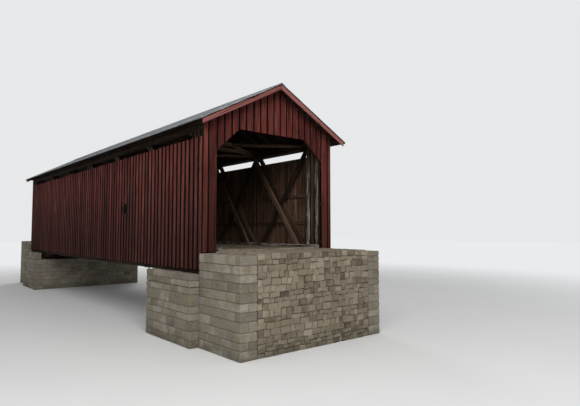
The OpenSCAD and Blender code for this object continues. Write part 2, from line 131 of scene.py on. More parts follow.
def stone_material(name, dark, light):
    """Split limestone, each stone between a dark and a light tone, with buff stains, beds, grit, lichen on
    its face and damp near the foot of the wall."""
    buff_stain = srgb(122, 113, 95)
    bed_shade = srgb(88, 84, 78)
    grit_shade = srgb(76, 72, 66)
    lichen_grey = srgb(154, 155, 142)
    damp_shade = srgb(62, 62, 50)
    made, tree = new_material(name)
    place = add(tree, "ShaderNodeTexCoord").outputs["Object"]
    tone = attribute(tree, "tone", "Fac")
    height = add(tree, "ShaderNodeSeparateXYZ", {0: place}).outputs[2]
    shifted = vector(tree, "ADD", place, vector(tree, "MULTIPLY", tone, (31.0, 17.0, 53.0)))
    cloud = noise(tree, shifted, 3.0, 6.0)
    grit = noise(tree, shifted, 60.0, 6.0)
    beds = noise(tree, shifted, 9.0, 3.0, (0.6, 0.6, 5.0))
    colour = mix(tree, tone, dark, light)
    colour = mix(tree, between(tree, cloud, 0.35, 0.7), colour, buff_stain)
    colour = mix(tree, between(tree, beds, 0.55, 0.8), colour, bed_shade)
    colour = mix(tree, between(tree, grit, 0.58, 0.72), colour, grit_shade)
    lichen = between(tree, noise(tree, place, 14.0, 5.0), 0.65, 0.74)
    colour = mix(tree, calc(tree, "MULTIPLY", lichen, 0.7), colour, lichen_grey)
    damp = calc(tree, "ADD", calc(tree, "MULTIPLY", cloud, 1.2), calc(tree, "MULTIPLY", height, -1.0))
    colour = mix(tree, calc(tree, "MULTIPLY", between(tree, damp, 0.0, 0.9), 0.6), colour, damp_shade)
    relief = calc(tree, "ADD", calc(tree, "MULTIPLY", cloud, 1.0), calc(tree, "MULTIPLY", grit, 0.35))
    relief = calc(tree, "ADD", relief, calc(tree, "MULTIPLY", beds, 0.5))
    dress(tree, colour, calc(tree, "ADD", calc(tree, "MULTIPLY", grit, 0.2), 0.75), relief, 0.02)
    return made


def mortar_material():
    """Sandy lime mortar, stained in places."""
    made, tree = new_material("mortar")
    place = add(tree, "ShaderNodeTexCoord").outputs["Object"]
    sand = noise(tree, place, 90.0, 6.0)
    stain = noise(tree, place, 4.0, 5.0)
    colour = mix(tree, between(tree, sand, 0.3, 0.7), srgb(100, 93, 83), srgb(134, 127, 115))
    colour = mix(tree, between(tree, stain, 0.5, 0.75), colour, srgb(84, 79, 68))
    dress(tree, colour, calc(tree, "ADD", calc(tree, "MULTIPLY", stain, 0.1), 0.85), sand, 0.006)
    return made


def block_tree():
    """One block on each point, with rounded edges and an uneven face. The point's size and turn are its
    attributes, and a block keeps its tone as one."""
    tree = bpy.data.node_groups.new("blocks", "GeometryNodeTree")
    face = tree.interface
    face.new_socket("Geometry", in_out="OUTPUT", socket_type="NodeSocketGeometry")
    face.new_socket("Points", in_out="INPUT", socket_type="NodeSocketGeometry")
    for name, kind in (
        ("Cuts along X", "Int"), ("Cuts along Y", "Int"), ("Cuts along Z", "Int"), ("Rounding", "Float"),
        ("Uneven", "Vector"), ("Wave length", "Float"), ("Taper", "Float"), ("Lowest corner", "Vector"),
        ("Highest corner", "Vector"), ("Seed", "Int"), ("Material", "Material"),
    ):
        face.new_socket(name, in_out="INPUT", socket_type="NodeSocket" + kind)
    given = tree.nodes.new("NodeGroupInput").outputs
    cuts = [given["Cuts along " + axis] for axis in "XYZ"]
    cube = add(
        tree, "GeometryNodeMeshCube",
        {"Size": (1.0, 1.0, 1.0), "Vertices X": cuts[0], "Vertices Y": cuts[1], "Vertices Z": cuts[2]},
    ).outputs["Mesh"]
    position = tree.nodes.new("GeometryNodeInputPosition").outputs[0]
    cube = add(
        tree, "GeometryNodeStoreNamedAttribute", {"Geometry": cube, "Name": "corner", "Value": position},
        data_type="FLOAT_VECTOR", domain="POINT",
    ).outputs[0]
    chance = add(tree, "FunctionNodeRandomValue", {"Seed": given["Seed"]}, data_type="FLOAT").outputs[1]
    points = add(
        tree, "GeometryNodeStoreNamedAttribute",
        {"Geometry": given["Points"], "Name": "tone", "Value": chance}, data_type="FLOAT", domain="POINT",
    ).outputs[0]
    laid = add(tree, "GeometryNodeInstanceOnPoints", {"Points": points, "Instance": cube}).outputs[0]
    laid = add(tree, "GeometryNodeRealizeInstances", {0: laid}).outputs[0]

    def carried(name):
        """A vector that every point of the blocks carries."""
        return add(
            tree, "GeometryNodeInputNamedAttribute", {"Name": name}, data_type="FLOAT_VECTOR"
        ).outputs[0]

    def times(value, factor):
        """A vector made longer or shorter."""
        return vector(tree, "MULTIPLY", value, (factor, factor, factor))

    def within(value, low, high):
        """A vector kept between two others."""
        return vector(tree, "MINIMUM", vector(tree, "MAXIMUM", value, low), high)

    corner = carried("corner")
    half = times(carried("size"), 0.5)
    inner = vector(tree, "SUBTRACT", half, given["Rounding"])
    # The outermost row of points rounds the edge, and the others share the flat face
    spread = []
    for count in cuts:
        edge = calc(tree, "DIVIDE", 2.0, calc(tree, "SUBTRACT", count, 1.0))
        spread.append(calc(tree, "MAXIMUM", calc(tree, "SUBTRACT", 1.0, edge), 0.001))
    spread = add(tree, "ShaderNodeCombineXYZ", dict(enumerate(spread))).outputs[0]
    lattice = vector(tree, "MULTIPLY", vector(tree, "DIVIDE", corner, spread), times(inner, 2.0))
    lattice = within(lattice, times(half, -1.0), half)
    # Each point lies at the rounding's distance from a core inside the block
    core = within(lattice, times(inner, -1.0), inner)
    out = vector(tree, "NORMALIZE", vector(tree, "SUBTRACT", lattice, core))
    shape = vector(tree, "ADD", core, vector(tree, "MULTIPLY", out, given["Rounding"]))
    back = calc(tree, "SUBTRACT", 0.5, add(tree, "ShaderNodeSeparateXYZ", {0: corner}).outputs[0])
    thinner = calc(tree, "SUBTRACT", 1.0, calc(tree, "MULTIPLY", back, given["Taper"]))
    thinner = add(tree, "ShaderNodeCombineXYZ", {0: 1.0, 1: 1.0, 2: thinner}).outputs[0]
    shape = vector(tree, "MULTIPLY", shape, thinner)
    turn = {"Vector": shape, "Rotation": carried("turn")}
    turned = add(tree, "FunctionNodeRotateVector", turn).outputs[0]
    middle = vector(tree, "SUBTRACT", position, corner)
    here = vector(tree, "ADD", middle, turned)
    # The bumps differ from block to block
    shake = add(
        tree, "ShaderNodeTexNoise",
        {"Vector": vector(tree, "ADD", here, vector(tree, "MULTIPLY", middle, (3.1, 5.3, 7.7))),
         "Scale": calc(tree, "DIVIDE", 1.0, given["Wave length"]), "Detail": 2.0},
    ).outputs[1]
    shake = times(vector(tree, "SUBTRACT", shake, (0.5, 0.5, 0.5)), 2.0)
    here = vector(tree, "ADD", here, vector(tree, "MULTIPLY", shake, given["Uneven"]))
    here = within(here, given["Lowest corner"], given["Highest corner"])
    laid = add(tree, "GeometryNodeSetPosition", {"Geometry": laid, "Position": here}).outputs[0]
    finish = {"Geometry": laid, "Material": given["Material"]}
    laid = add(tree, "GeometryNodeSetMaterial", finish).outputs[0]
    for name in ("corner", "size", "turn"):
        laid = add(tree, "GeometryNodeRemoveAttribute", {"Geometry": laid, "Name": name}).outputs[0]
    end = tree.nodes.new("NodeGroupOutput")
    tree.links.new(laid, end.inputs[0])
    return tree


def new_piece(name, mesh):
    """An object in the scene for a mesh."""
    piece = bpy.data.objects.new(name, mesh)
    bpy.context.scene.collection.objects.link(piece)
    return piece


def grow(piece, tree, **values):
    """Runs a tree of geometry nodes on a piece and keeps the result as plain mesh."""
    worker = piece.modifiers.new("grow", "NODES")
    worker.node_group = tree
    for item in tree.interface.items_tree:
        key = item.name.lower().replace(" ", "_")
        if key in values:
            worker[item.identifier] = values[key]
    graph = bpy.context.evaluated_depsgraph_get()
    mesh = bpy.data.meshes.new_from_object(piece.evaluated_get(graph), depsgraph=graph)
    # The first slot is that of the bare points, which have no material
    mesh.materials.pop(index=0)
    piece.modifiers.clear()
    piece.data = mesh
    return piece


def point_cloud(name, rows):
    """Loose points with a size and a turn each, from rows of (place, size, turn)."""
    mesh = bpy.data.meshes.new(name)
    mesh.from_pydata([row[0] for row in rows], [], [])
    for title, column in (("size", 1), ("turn", 2)):
        layer = mesh.attributes.new(title, "FLOAT_VECTOR", "POINT")
        layer.data.foreach_set("vector", np.array([row[column] for row in rows], float).ravel())
    return mesh


blocks = block_tree()


def lay(
    name, rows, material, low, high, seed,
    cuts=(2, 2, 2), rounding=0.0, uneven=(0.0, 0.0, 0.0), wave=1.0, taper=0.0,
):
    """Blocks, boards or planks, one for each row, kept between two corners. The cuts are the points along
    each edge of one, and uneven and wave are the depth and length of the bumps on its faces."""
    piece = new_piece(name, point_cloud(name, rows))
    return grow(
        piece, blocks, cuts_along_x=cuts[0], cuts_along_y=cuts[1], cuts_along_z=cuts[2],
        rounding=rounding, uneven=uneven, wave_length=wave, taper=taper, lowest_corner=tuple(low),
        highest_corner=tuple(high), seed=seed, material=material,
    )


def seat(piece, finish, *nodes):
    """The piece belongs to the bridge, and stands for these parts of the frame."""
    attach(piece, "root")
    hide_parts(*nodes)
    return piece


def cut_up(start, stop, about, random, vary=0.28):
    """Pairs of ends of the pieces that fill a length, each near a given size."""
    share = random.uniform(1.0 - vary, 1.0 + vary, max(1, round((stop - start) / about)))
    ends = start + np.concatenate(([0.0], np.cumsum(share) / share.sum())) * (stop - start)
    return list(zip(ends[:-1], ends[1:]))


def join_in(piece, others):
    """Adds the meshes of other objects to a piece."""
    with bpy.context.temp_override(active_object=piece, selected_editable_objects=[piece, *others]):
        bpy.ops.object.join()
    return piece


def finished_mesh(form, name, material):
    """The plain mesh of a form, in one material."""
    mesh = bpy.data.meshes.new(name)
    form.to_mesh(mesh)
    form.free()
    mesh.materials.append(material)
    return mesh


def plain_boxes(name, boxes, material):
    """Plain closed boxes, each between two corners."""
    form = bmesh.new()
    for low, high in boxes:
        made = bmesh.ops.create_cube(form, size=1.0)
        size = Vector(high) - Vector(low)
        place = Matrix.Translation((Vector(low) + Vector(high)) / 2) @ Matrix.Diagonal((*size, 1.0))
        bmesh.ops.transform(form, matrix=place, verts=made["verts"])
    return new_piece(name, finished_mesh(form, name, material))


course_h = 0.27
stone_l = 0.58
shortest_stone = 0.10
stone_depth = 0.36
joint = 0.016
core_inset = 0.034
stone = stone_material("limestone", srgb(98, 92, 84), srgb(144, 138, 127))
mortar = mortar_material()


def stonework(name, walls, node, seed):
    """Walls of laid stones, each wall between two corners."""
    random = np.random.default_rng(seed)
    rows = []
    cores = []
    for low, high in walls:
        low = np.array(low)
        high = np.array(high)
        deep = min(stone_depth, (high - low)[:2].min() / 2)
        for course, (under, top) in enumerate(cut_up(low[2], high[2], course_h, random)):
            # The corner stones belong to one pair of faces and to the other by turns
            for run in (0, 1):
                across = 1 - run
                inset = deep if (course + run) % 2 else 0.0
                if high[run] - low[run] - 2 * inset < shortest_stone:
                    continue
                for face in (0, 1):
                    for start, stop in cut_up(low[run] + inset, high[run] - inset, stone_l, random):
                        first = np.zeros(3)
                        last = np.zeros(3)
                        first[run], last[run] = start, stop
                        first[across] = high[across] - deep if face else low[across]
                        last[across] = first[across] + deep
                        first[2], last[2] = under, top
                        rows.append(((first + last) / 2, last - first - joint, (0.0, 0.0, 0.0)))
        cores.append((low + core_inset, high - core_inset))
    low = np.min([wall[0] for wall in walls], axis=0)
    high = np.max([wall[1] for wall in walls], axis=0)
    piece = lay(
        name, rows, stone, low, high, seed,
        cuts=(5, 5, 5), rounding=0.022, uneven=(0.010, 0.010, 0.008), wave=0.16,
    )
    join_in(piece, [plain_boxes(name + "_core", cores, mortar)])
    seat(piece, "stone", node)


def four_walls(node, thickness, length):
    """The four like walls of a node, one at each corner of the bridge."""
    low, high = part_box(node)
    return [
        ((x, y, low.z), (x + thickness, y + length, high.z))
        for x in (low.x, high.x - thickness)
        for y in (low.y, high.y - length)
    ]


abutment_low, abutment_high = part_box("near_abutment")
abutment_l = abutment_high.y - abutment_low.y
approach_l = abutment_low.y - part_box("wing_walls")[0].y
cheek_t = 0.37
wing_t = 0.60
stonework("near_abutment_stones", [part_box("near_abutment")], "near_abutment", seed=11)
stonework("far_abutment_stones", [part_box("far_abutment")], "far_abutment", seed=12)
stonework("cheek_stones", four_walls("cheek_walls", cheek_t, abutment_l), "cheek_walls", seed=13)
stonework("wing_stones", four_walls("wing_walls", wing_t, approach_l), "wing_walls", seed=14)

# Fill of the approaches
# Packed rubble between the approach walls, nearly up to the roadway, with
# gravel trodden into its top and rough stones laid dry at its outer end.
gravel_stone = 0.085
gravel_stones = 650
gravel_out = 0.42
end_stone_l = 0.26
end_stone_h = 0.17
end_joint = 0.02
bed_joint = 0.012
core_recess = 0.03
rubble = stone_material("rubble", srgb(74, 66, 55), srgb(146, 136, 120))


def packed_fill(name, low, high, end, seed):
    """A packed fill, the gravel on its top and the dry stones of its outer end."""
    random = np.random.default_rng(seed)
    low = np.array(low)
    high = np.array(high)
    size = high - low
    behind = np.array((0.0, math.copysign(core_recess, end), 0.0))
    packed = [((low + high) / 2 - behind, size - bed_joint - 2 * np.abs(behind), (0.0, 0.0, 0.0))]
    piece = lay(
        name, packed, rubble, low, high, seed,
        cuts=(60, 30, 36), rounding=0.03, uneven=(0.03, 0.03, 0.03), wave=0.14,
    )
    rows = []
    for _ in range(gravel_stones):
        place = low + random.random(3) * size
        share = random.uniform(0.3, 1.0) * random.uniform((0.8, 0.6, 0.4), (1.2, 1.0, 0.7))
        stone_size = gravel_stone * share
        place[2] = high[2] - stone_size[2] * gravel_out
        turn = (0.3 * random.random(), 0.3 * random.random(), 6.3 * random.random())
        rows.append((place, stone_size, turn))
    trodden = lay(
        name + "_gravel", rows, rubble, low, high, seed,
        cuts=(3, 3, 3), rounding=0.012, uneven=(0.006, 0.006, 0.004), wave=0.03,
    )
    rows = []
    for under, top in cut_up(low[2], high[2], end_stone_h, random, 0.35):
        for start, stop in cut_up(low[0], high[0], end_stone_l, random, 0.45):
            deep = random.uniform(0.16, 0.24)
            inwards = math.copysign(deep / 2 + random.uniform(0.0, 0.03), end)
            up = (under + top) / 2 + random.uniform(-0.02, 0.02)
            turn = (0.0, random.uniform(-0.12, 0.12), random.uniform(-0.08, 0.08))
            stone_size = (stop - start - end_joint, deep, top - under - bed_joint)
            rows.append((((start + stop) / 2, end - inwards, up), stone_size, turn))
    stones = lay(
        name + "_stones", rows, rubble, low, high, seed,
        cuts=(4, 4, 4), rounding=0.012, uneven=(0.012, 0.008, 0.010), wave=0.09,
    )
    return join_in(piece, [trodden, stones])


fill_low, fill_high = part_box("approach_fills")
near_fill = packed_fill(
    "near_fill", (fill_low.x, fill_low.y, 0.0), (fill_high.x, abutment_low.y, fill_high.z),
    fill_low.y, seed=21,
)
far_fill = packed_fill(
    "far_fill", (fill_low.x, -abutment_low.y, 0.0), (fill_high.x, fill_high.y, fill_high.z),
    fill_high.y, seed=22,
)
join_in(near_fill, [far_fill])
near_fill.name = "rubble_fill"
seat(near_fill, "rubble", "approach_fills")

# Bearings
# Bed timbers laid across the abutments and bolsters under the chord ends.
# Rough sawn and dark with age, their edges worn round.


def mark_grain(mesh, seed):
    """Gives each separate piece of wood its own tone, and its own grain along its longest edge."""
    random = np.random.default_rng(seed)
    count = len(mesh.vertices)
    place = np.empty(count * 3)
    mesh.vertices.foreach_get("co", place)
    place = place.reshape(-1, 3)
    ends = np.empty(len(mesh.edges) * 2, int)
    mesh.edges.foreach_get("vertices", ends)
    first, last = ends.reshape(-1, 2).T
    # Points that edges join end up with the lowest number of their piece
    group = np.arange(count)
    settled = False
    while not settled:
        low = np.minimum(group[first], group[last])
        linked = group.copy()
        np.minimum.at(linked, first, low)
        np.minimum.at(linked, last, low)
        linked = linked[linked]
        settled = np.array_equal(linked, group)
        group = linked
    # The edges are written in order of length, so the longest one of a piece stays
    span = place[last] - place[first]
    order = np.argsort(np.linalg.norm(span, axis=1), kind="stable")
    along = np.zeros((count, 3))
    along[group[first[order]]] = span[order]
    along = along[group]
    along /= np.linalg.norm(along, axis=1)[:, None]
    upright = np.abs(along[:, 2]) > 0.9
    side = np.cross(along, np.where(upright[:, None], (1.0, 0.0, 0.0), (0.0, 0.0, 1.0)))
    side /= np.linalg.norm(side, axis=1)[:, None]
    through = np.cross(side, along)
    grain = np.stack([(place * axis).sum(1) for axis in (along, side, through)], 1)
    grain += random.uniform(-40.0, 40.0, (count, 3))[group]
    own_tone = random.random(count)[group]
    for title, kind, field, values in (
        ("grain", "FLOAT_VECTOR", "vector", grain), ("tone", "FLOAT", "value", own_tone),
    ):
        if title in mesh.attributes:
            mesh.attributes.remove(mesh.attributes[title])
        mesh.attributes.new(title, kind, "POINT").data.foreach_set(field, values.ravel())


def wood(name, dark, light, paint=None, cover=0.0, darken_below=0.0, fade=0.0, flake=0.04):
    """Sawn wood with streaks, fibres, knots and drying cracks. Paint, as three colours, covers it down to
    the share that has peeled, and ends at the height of fade. Below splash it darkens towards the bottom."""
    bottom_dark = srgb(44, 26, 21)
    made, tree = new_material(name)
    grain = attribute(tree, "grain", "Vector")
    tone = attribute(tree, "tone", "Fac")
    streak = noise(tree, grain, 1.0, 5.0, (0.7, 15.0, 15.0))
    fibre = noise(tree, grain, 1.0, 3.0, (3.0, 150.0, 150.0))
    figure = calc(tree, "SINE", calc(tree, "MULTIPLY", noise(tree, grain, 1.0, 2.0, (0.3, 4.0, 4.0)), 70.0))
    crack = between(tree, noise(tree, grain, 1.0, 2.0, (0.6, 34.0, 34.0)), 0.64, 0.69)
    spread = {"Vector": vector(tree, "MULTIPLY", grain, (1.3, 6.0, 6.0)), "Scale": 1.0}
    spot = add(tree, "ShaderNodeTexVoronoi", spread).outputs[0]
    knot = calc(tree, "SUBTRACT", 1.0, between(tree, spot, 0.07, 0.17))
    colour = mix(tree, between(tree, streak, 0.3, 0.7), dark, light)
    ring = calc(tree, "MULTIPLY", between(tree, figure, 0.2, 1.0), 0.35)
    colour = mix(tree, ring, colour, dark)
    deep = tuple(0.3 * c for c in dark[:3]) + (1.0,)
    bare_dark = calc(tree, "MAXIMUM", crack, calc(tree, "MULTIPLY", knot, 0.8))
    colour = mix(tree, bare_dark, colour, deep)
    relief = calc(tree, "ADD", calc(tree, "MULTIPLY", streak, 0.6), calc(tree, "MULTIPLY", fibre, 0.5))
    relief = calc(tree, "SUBTRACT", relief, calc(tree, "MULTIPLY", crack, 1.4))
    place = add(tree, "ShaderNodeTexCoord").outputs["Object"]
    height = add(tree, "ShaderNodeSeparateXYZ", {0: place}).outputs[2]
    if paint:
        peel = noise(tree, grain, 1.0, 6.0, (2.2, 26.0, 26.0))
        patch = noise(tree, grain, 1.0, 4.0, (0.8, 5.0, 5.0))
        left_on = calc(tree, "ADD", calc(tree, "MULTIPLY", peel, 0.6), calc(tree, "MULTIPLY", patch, 0.4))
        left_on = calc(tree, "SUBTRACT", left_on, calc(tree, "MULTIPLY", bare_dark, 0.2))
        left_on = between(tree, left_on, cover, cover + flake)
        if fade:
            ragged = calc(tree, "ADD", height, calc(tree, "MULTIPLY", patch, 1.5))
            worn = calc(tree, "SUBTRACT", 1.0, between(tree, ragged, fade - 0.6, fade + 1.2))
            left_on = calc(tree, "MULTIPLY", left_on, worn)
        coat = mix(tree, between(tree, streak, 0.25, 0.75), paint[0], paint[1])
        coat = mix(tree, calc(tree, "MULTIPLY", between(tree, patch, 0.45, 0.75), 0.6), coat, paint[2])
        coat = mix(tree, calc(tree, "MULTIPLY", between(tree, fibre, 0.45, 0.8), 0.5), coat, paint[0])
        colour = mix(tree, left_on, colour, coat)
        relief = calc(tree, "ADD", relief, calc(tree, "MULTIPLY", left_on, 0.5))
    if darken_below:
        # The colour grows darker towards the bottom, below the given height
        ragged = calc(tree, "ADD", height, calc(tree, "MULTIPLY", streak, -1.2))
        lower_share = calc(tree, "SUBTRACT", 1.0, between(tree, ragged, darken_below - 3.4, darken_below))
        colour = mix(tree, calc(tree, "MULTIPLY", lower_share, 0.6), colour, bottom_dark)
    strength = calc(tree, "ADD", calc(tree, "MULTIPLY", tone, 0.6), 0.7)
    colour = mix(tree, 1.0, colour, strength, "MULTIPLY")
    dress(tree, colour, calc(tree, "ADD", calc(tree, "MULTIPLY", fibre, 0.2), 0.75), relief, 0.004)
    return made


def face_material(mesh, material, kinds, *directions):
    """Gives another material to faces of the first few kinds that look in one of the directions. On the
    left side of the bridge the directions are mirrored, so +X is always outwards."""
    normals = np.empty(len(mesh.polygons) * 3)
    mesh.polygons.foreach_get("normal", normals)
    normals = normals.reshape(-1, 3)
    middles = np.empty(len(mesh.polygons) * 3)
    mesh.polygons.foreach_get("center", middles)
    normals[:, 0] *= np.sign(middles[::3])
    held = np.empty(len(mesh.polygons), int)
    mesh.polygons.foreach_get("material_index", held)
    looks = (normals @ np.array(directions, float).T > 0.55).any(axis=1)
    held[looks & (held < kinds)] = len(mesh.materials)
    mesh.materials.append(material)
    mesh.polygons.foreach_set("material_index", held)


def wear_edges(form, edges, width):
    """Takes a narrow flat off these edges."""
    bmesh.ops.bevel(
        form, geom=edges, offset=width, segments=1, profile=0.5, affect="EDGES", clamp_overlap=True,
    )


def hewn(name, nodes, material, finish, edge, seed):
    """Timbers of the frame with their edges worn off by a few millimetres."""
    form = bmesh.new()
    for node in nodes:
        form.from_mesh(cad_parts[node].data)
    bmesh.ops.remove_doubles(form, verts=form.verts, dist=0.0001)
    flat = math.radians(1.0)
    bmesh.ops.dissolve_limit(form, angle_limit=flat, verts=form.verts, edges=form.edges)
    corner = math.radians(20.0)
    wear_edges(form, [e for e in form.edges if e.is_manifold and e.calc_face_angle(0.0) > corner], edge)
    mesh = finished_mesh(form, name, material)
    mark_grain(mesh, seed)
    return seat(new_piece(name, mesh), finish, *nodes)


timber_edge = 0.007
dark_timber = wood("dark_timber", srgb(24, 18, 14), srgb(56, 44, 34))
hewn(
    "bed_and_bolster_timbers", ["bed_timbers", "bolsters"], dark_timber, "dark_timber",
    timber_edge, seed=31,
)

# Trusses
# Chords of three sticks, sloped hardwood blocks, pairs of main braces that
# rise towards the middle, and single counters that pass between them.
block_edge = 0.004
brown_timber = wood("brown_timber", srgb(56, 43, 34), srgb(108, 87, 70))
hewn(
    "truss_chords", ["left_bottom_chord", "right_bottom_chord", "left_top_chord", "right_top_chord"],
    dark_timber, "dark_timber", timber_edge, seed=32,
)
main_braces = hewn(
    "truss_main_braces", ["left_main_braces", "right_main_braces"], brown_timber, "brace_timber",
    timber_edge, seed=33,
)
# The outward faces of the main braces take the dark timber, as painted shade beside them
face_material(main_braces.data, dark_timber, 1, (1, 0, 0))
hewn(
    "truss_counters", ["left_counter_braces", "right_counter_braces"], dark_timber, "brace_timber",
    timber_edge, seed=36,
)
hewn(
    "truss_blocks", ["left_angle_blocks", "right_angle_blocks"], dark_timber, "brace_timber",
    block_edge, seed=35,
)

# Rods
# Round iron rods with washer plates and six-sided nuts, which draw the chords
# together. Black iron gone dull, with rust where the damp sits.


def iron_material():
    """Dull black iron with pits and patches of rust."""
    made, tree = new_material("old_iron")
    place = add(tree, "ShaderNodeTexCoord").outputs["Object"]
    bloom = noise(tree, place, 9.0, 6.0, (1.0, 1.0, 0.4))
    pits = noise(tree, place, 140.0, 4.0)
    rust = mix(tree, between(tree, pits, 0.35, 0.65), srgb(62, 40, 29), srgb(98, 64, 44))
    colour = mix(tree, between(tree, bloom, 0.42, 0.62), srgb(54, 50, 48), rust)
    dress(tree, colour, calc(tree, "ADD", calc(tree, "MULTIPLY", bloom, 0.4), 0.42), pits, 0.0015)
    tree.nodes["Principled BSDF"].inputs["Metallic"].default_value = 0.45
    return made


old_iron = iron_material()
for node in ("tie_rods", "rod_plates"):
    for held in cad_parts[node].material_slots:
        held.material = old_iron

# End posts
# Three posts of two sticks between the chords at each end of a truss, once
# whitewashed. The wash is flaking, and the middle post has lost all of it.
bare_post_from = 10.79
bare_post_to = 10.96
washed_timber = wood(
    "washed_timber", srgb(38, 31, 26), srgb(80, 67, 58),
    (srgb(108, 99, 93), srgb(188, 179, 171), srgb(142, 131, 122)), cover=0.45, fade=6.4, flake=0.11,
)
bare_timber = wood("bare_post_timber", srgb(40, 31, 25), srgb(78, 62, 52))
posts = hewn("end_post_timbers", ["end_posts"], washed_timber, "pale_timber", timber_edge, seed=41)
# Only the faces toward the roadway keep the wash. The others are unwashed and take the dark timber, which
# is darker than bare wood, as painted shade between the sticks
face_material(posts.data, dark_timber, 1, (1, 0, 0), (0, -1, 0), (0, 1, 0))
posts.data.materials.append(bare_timber)
# The faces of the middle posts, by their distance from mid-span, have no wash
for face in posts.data.polygons:
    if face.material_index == 0 and bare_post_from < abs(face.center.y) < bare_post_to:
        face.material_index = 2

# Floor
# Beams across the bottom chords, joists along them and planks across the
# joists. The planks are worn, dusty and gapped, with a guard at each edge.
plank_w = 0.25
plank_gap = 0.009
framing_edge = 0.006
guard_edge = 0.012
hewn(
    "floor_framing", ["floor_beams", "floor_joists", "lower_laterals"], dark_timber, "dark_timber",
    framing_edge, seed=51,
)
hewn("wheel_guard_timbers", ["wheel_guards"], washed_timber, "pale_timber", guard_edge, seed=52)
worn_plank = wood("worn_plank", srgb(84, 75, 63), srgb(142, 130, 112))
deck_low, deck_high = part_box("deck")
roadway = deck_high.z
random = np.random.default_rng(53)
planks = []
for start, stop in cut_up(deck_low.y, deck_high.y, plank_w, random, 0.06):
    short = random.uniform(0.0, 0.03)
    middle = (random.uniform(-0.5, 0.5) * short, (start + stop) / 2, (deck_low.z + deck_high.z) / 2)
    size = (deck_high.x - deck_low.x - short, stop - start - plank_gap, deck_high.z - deck_low.z - 0.004)
    planks.append((middle, size, (random.uniform(-0.008, 0.008), 0.0, 0.0)))
deck_planks = lay(
    "deck_planks", planks, worn_plank, deck_low, deck_high, seed=53,
    cuts=(12, 4, 4), rounding=0.006, uneven=(0.0, 0.002, 0.002), wave=0.5,
)
mark_grain(deck_planks.data, seed=54)
seat(deck_planks, "deck_plank", "deck")

# Upper bracing
# Tie beams across the top chords, crossed braces between the chords and knees
# behind the bevelled corners of the portals, with the rails of the walls.
rail_edge = 0.005
dry_timber = wood("dry_timber", srgb(92, 72, 58), srgb(148, 120, 98))
hewn("tie_beam_timbers", ["tie_beams"], dry_timber, "dark_timber", timber_edge, seed=61)
hewn("portal_knee_timbers", ["portal_knees"], dark_timber, "dark_timber", timber_edge, seed=65)
hewn("upper_brace_timbers", ["upper_laterals"], brown_timber, "brace_timber", framing_edge, seed=62)
hewn("portal_nailing_rails", ["portal_nailers"], dark_timber, "dark_timber", rail_edge, seed=63)
hewn("wall_rails", ["left_girts", "right_girts"], brown_timber, "brace_timber", rail_edge, seed=64)

# Side walls
# Upright sawn boards nailed to the rails and painted barn red. They have shrunk
# apart over thin strips, painted near black as the shade in the joints, and two
# boards of the left wall are broken.
side_pitch = 0.293
side_gap = 0.110
strip_w = 0.21
strip_short = 0.05
strip_up = 0.02
board_t = 0.022
board_edge = 0.0025
play = 0.001
nail_head = 0.011
nail_t = 0.003
nail_in = 0.05
rail_h = 0.12
rail_low, rail_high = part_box("left_girts")
nail_heights = (rail_low.z + rail_h / 2, roadway + 0.95, roadway + 2.08, rail_high.z - rail_h / 2)
open_joint_y = 0.80
open_joint_w = 0.04
# Each broken board has its place, the hole's foot and top, and the share of its width left whole
broken_boards = ((-4.85, 4.40, 4.66, 0.42), (-5.14, 4.35, 4.76, 0.0))
faded_red = wood(
    "faded_red_board", srgb(46, 36, 31), srgb(106, 88, 78),
    (srgb(56, 23, 20), srgb(114, 57, 51), srgb(124, 75, 65)), cover=0.40, darken_below=5.6,
)
bare_board = wood("bare_board", srgb(62, 46, 36), srgb(118, 91, 72))
# Painted shade: near-black strips behind the joints of the boards, standing for the dark recesses between
# them
joint_strip = wood("joint_strip", srgb(4, 3, 3), srgb(11, 9, 8))


def nails(name, places, flat, low, high, seed):
    """Square heads of cut nails, driven home; flat is the direction that they face."""
    size = np.where(np.abs(flat) > 0.5, nail_t, nail_head)
    rows = [(place, size, (0.0, 0.0, 0.0)) for place in places]
    return lay(name, rows, old_iron, low, high, seed)


